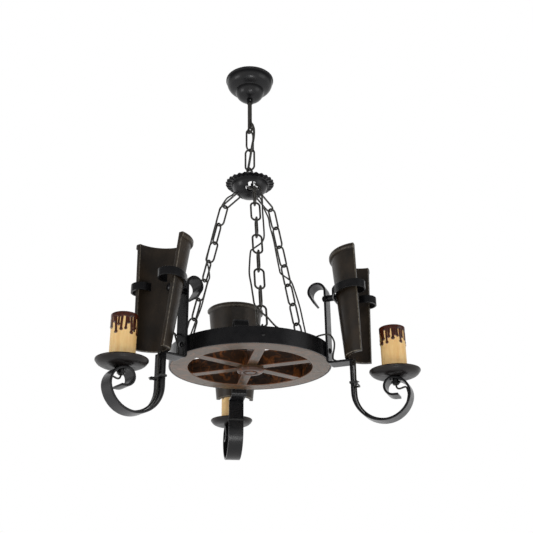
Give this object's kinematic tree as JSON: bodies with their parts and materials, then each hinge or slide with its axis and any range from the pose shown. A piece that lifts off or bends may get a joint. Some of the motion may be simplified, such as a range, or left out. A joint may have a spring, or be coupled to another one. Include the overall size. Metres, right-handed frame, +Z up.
{
  "type": "wagon wheel chandelier",
  "caption": "Hanging light: a spoked wooden wheel with an iron band on chains, with scrolled iron arms that carry candle lights in front of upright curved tiles",
  "frame": {"origin": "centre of the two ceiling screws, on the ceiling plane that the bracket's feet touch", "axes": "+Z up into the ceiling; the part hangs along -Z; +X along the bracket's two screws; one arm points along +Y, one chain along -Y"},
  "size_m": [0.5522, 0.49, 0.7683],
  "materials": {
    "black_iron": "satin black paint",
    "zinc_steel": "zinc plated",
    "brass": "plain",
    "white_plastic": "moulded",
    "dark_cable": "dark grey PVC sheath",
    "black_plastic": "moulded",
    "stained_wood": "stained and lacquered",
    "glazed_tile": "glazed ceramic, dark brown",
    "candle_wax": "moulded candle sleeve with brown drips"
  },
  "bodies": {
    "ceiling_mount": {"ceiling_bracket": "zinc_steel", "stem": "black_iron", "stem_nuts": "brass", "terminal_block": "white_plastic", "terminal_screws": "brass", "mains_lead": "dark_cable"},
    "canopy_body": {"canopy": "black_iron", "canopy_collar": "black_iron", "collar_screw": "zinc_steel"},
    "link_1": {"top_link_1": "black_iron"},
    "link_2": {"top_link_2": "black_iron"},
    "link_3": {"top_link_3": "black_iron"},
    "wheel_assembly": {"crown": "black_iron", "crown_hanger": "black_iron", "splice_block": "black_plastic", "chain_right": "black_iron", "chain_left": "black_iron", "chain_near": "black_iron", "wheel_band": "black_iron", "wheel_rim": "stained_wood", "spoke_1": "stained_wood", "spoke_2": "stained_wood", "spoke_3": "stained_wood", "spoke_4": "stained_wood", "spoke_5": "stained_wood", "spoke_6": "stained_wood", "hub": "stained_wood", "chain_eyes": "black_iron", "band_rivets": "black_iron", "strap_screws": "black_iron", "clamp_bolts": "black_iron", "clamp_spacers": "black_iron", "clamp_nuts": "black_iron", "pan_nuts": "brass", "cable_ties": "black_plastic", "cable_back": "dark_cable", "cable_left": "dark_cable", "cable_right": "dark_cable", "strap_back": "black_iron", "scroll_back": "black_iron", "clamp_back": "black_iron", "tile_back": "glazed_tile", "pan_back": "black_iron", "lampholder_back": "black_plastic", "strap_left": "black_iron", "scroll_left": "black_iron", "clamp_left": "black_iron", "tile_left": "glazed_tile", "pan_left": "black_iron", "lampholder_left": "black_plastic", "strap_right": "black_iron", "scroll_right": "black_iron", "clamp_right": "black_iron", "tile_right": "glazed_tile", "pan_right": "black_iron", "lampholder_right": "black_plastic"},
    "candle_body_back": {"candle_back": "candle_wax"},
    "candle_body_left": {"candle_left": "candle_wax"},
    "candle_body_right": {"candle_right": "candle_wax"}
  },
  "joints": [
    {"name": "stem_to_link_1", "type": "hinge", "parent": "ceiling_mount", "child": "link_1", "pos_m": [0, 0, -0.13325], "axis": [-0.5736, 0.8192, 0], "range_deg": [-12, 12], "deforming": ["mains_lead"]},
    {"name": "link_1_to_link_2", "type": "hinge", "parent": "link_1", "child": "link_2", "pos_m": [0, 0, -0.1785], "axis": [0.8192, 0.5736, 0], "range_deg": [-12, 12], "deforming": ["mains_lead"]},
    {"name": "link_2_to_link_3", "type": "hinge", "parent": "link_2", "child": "link_3", "pos_m": [0, 0, -0.224], "axis": [0.9063, -0.4226, 0], "range_deg": [-12, 12], "deforming": ["mains_lead"]},
    {"name": "link_3_to_wheel", "type": "hinge", "parent": "link_3", "child": "wheel_assembly", "pos_m": [0, 0, -0.2695], "axis": [0.7071, 0.7071, 0], "range_deg": [-12, 12], "deforming": ["mains_lead"]},
    {"name": "canopy_slide", "type": "slide", "parent": "ceiling_mount", "child": "canopy_body", "axis": [0, 0, 1], "range_m": [-0.042, 0]},
    {"name": "candle_lift_back", "type": "slide", "parent": "wheel_assembly", "child": "candle_body_back", "axis": [0, 0, 1], "range_m": [0, 0.09]},
    {"name": "candle_lift_left", "type": "slide", "parent": "wheel_assembly", "child": "candle_body_left", "axis": [0, 0, 1], "range_m": [0, 0.09]},
    {"name": "candle_lift_right", "type": "slide", "parent": "wheel_assembly", "child": "candle_body_right", "axis": [0, 0, 1], "range_m": [0, 0.09]}
  ]
}
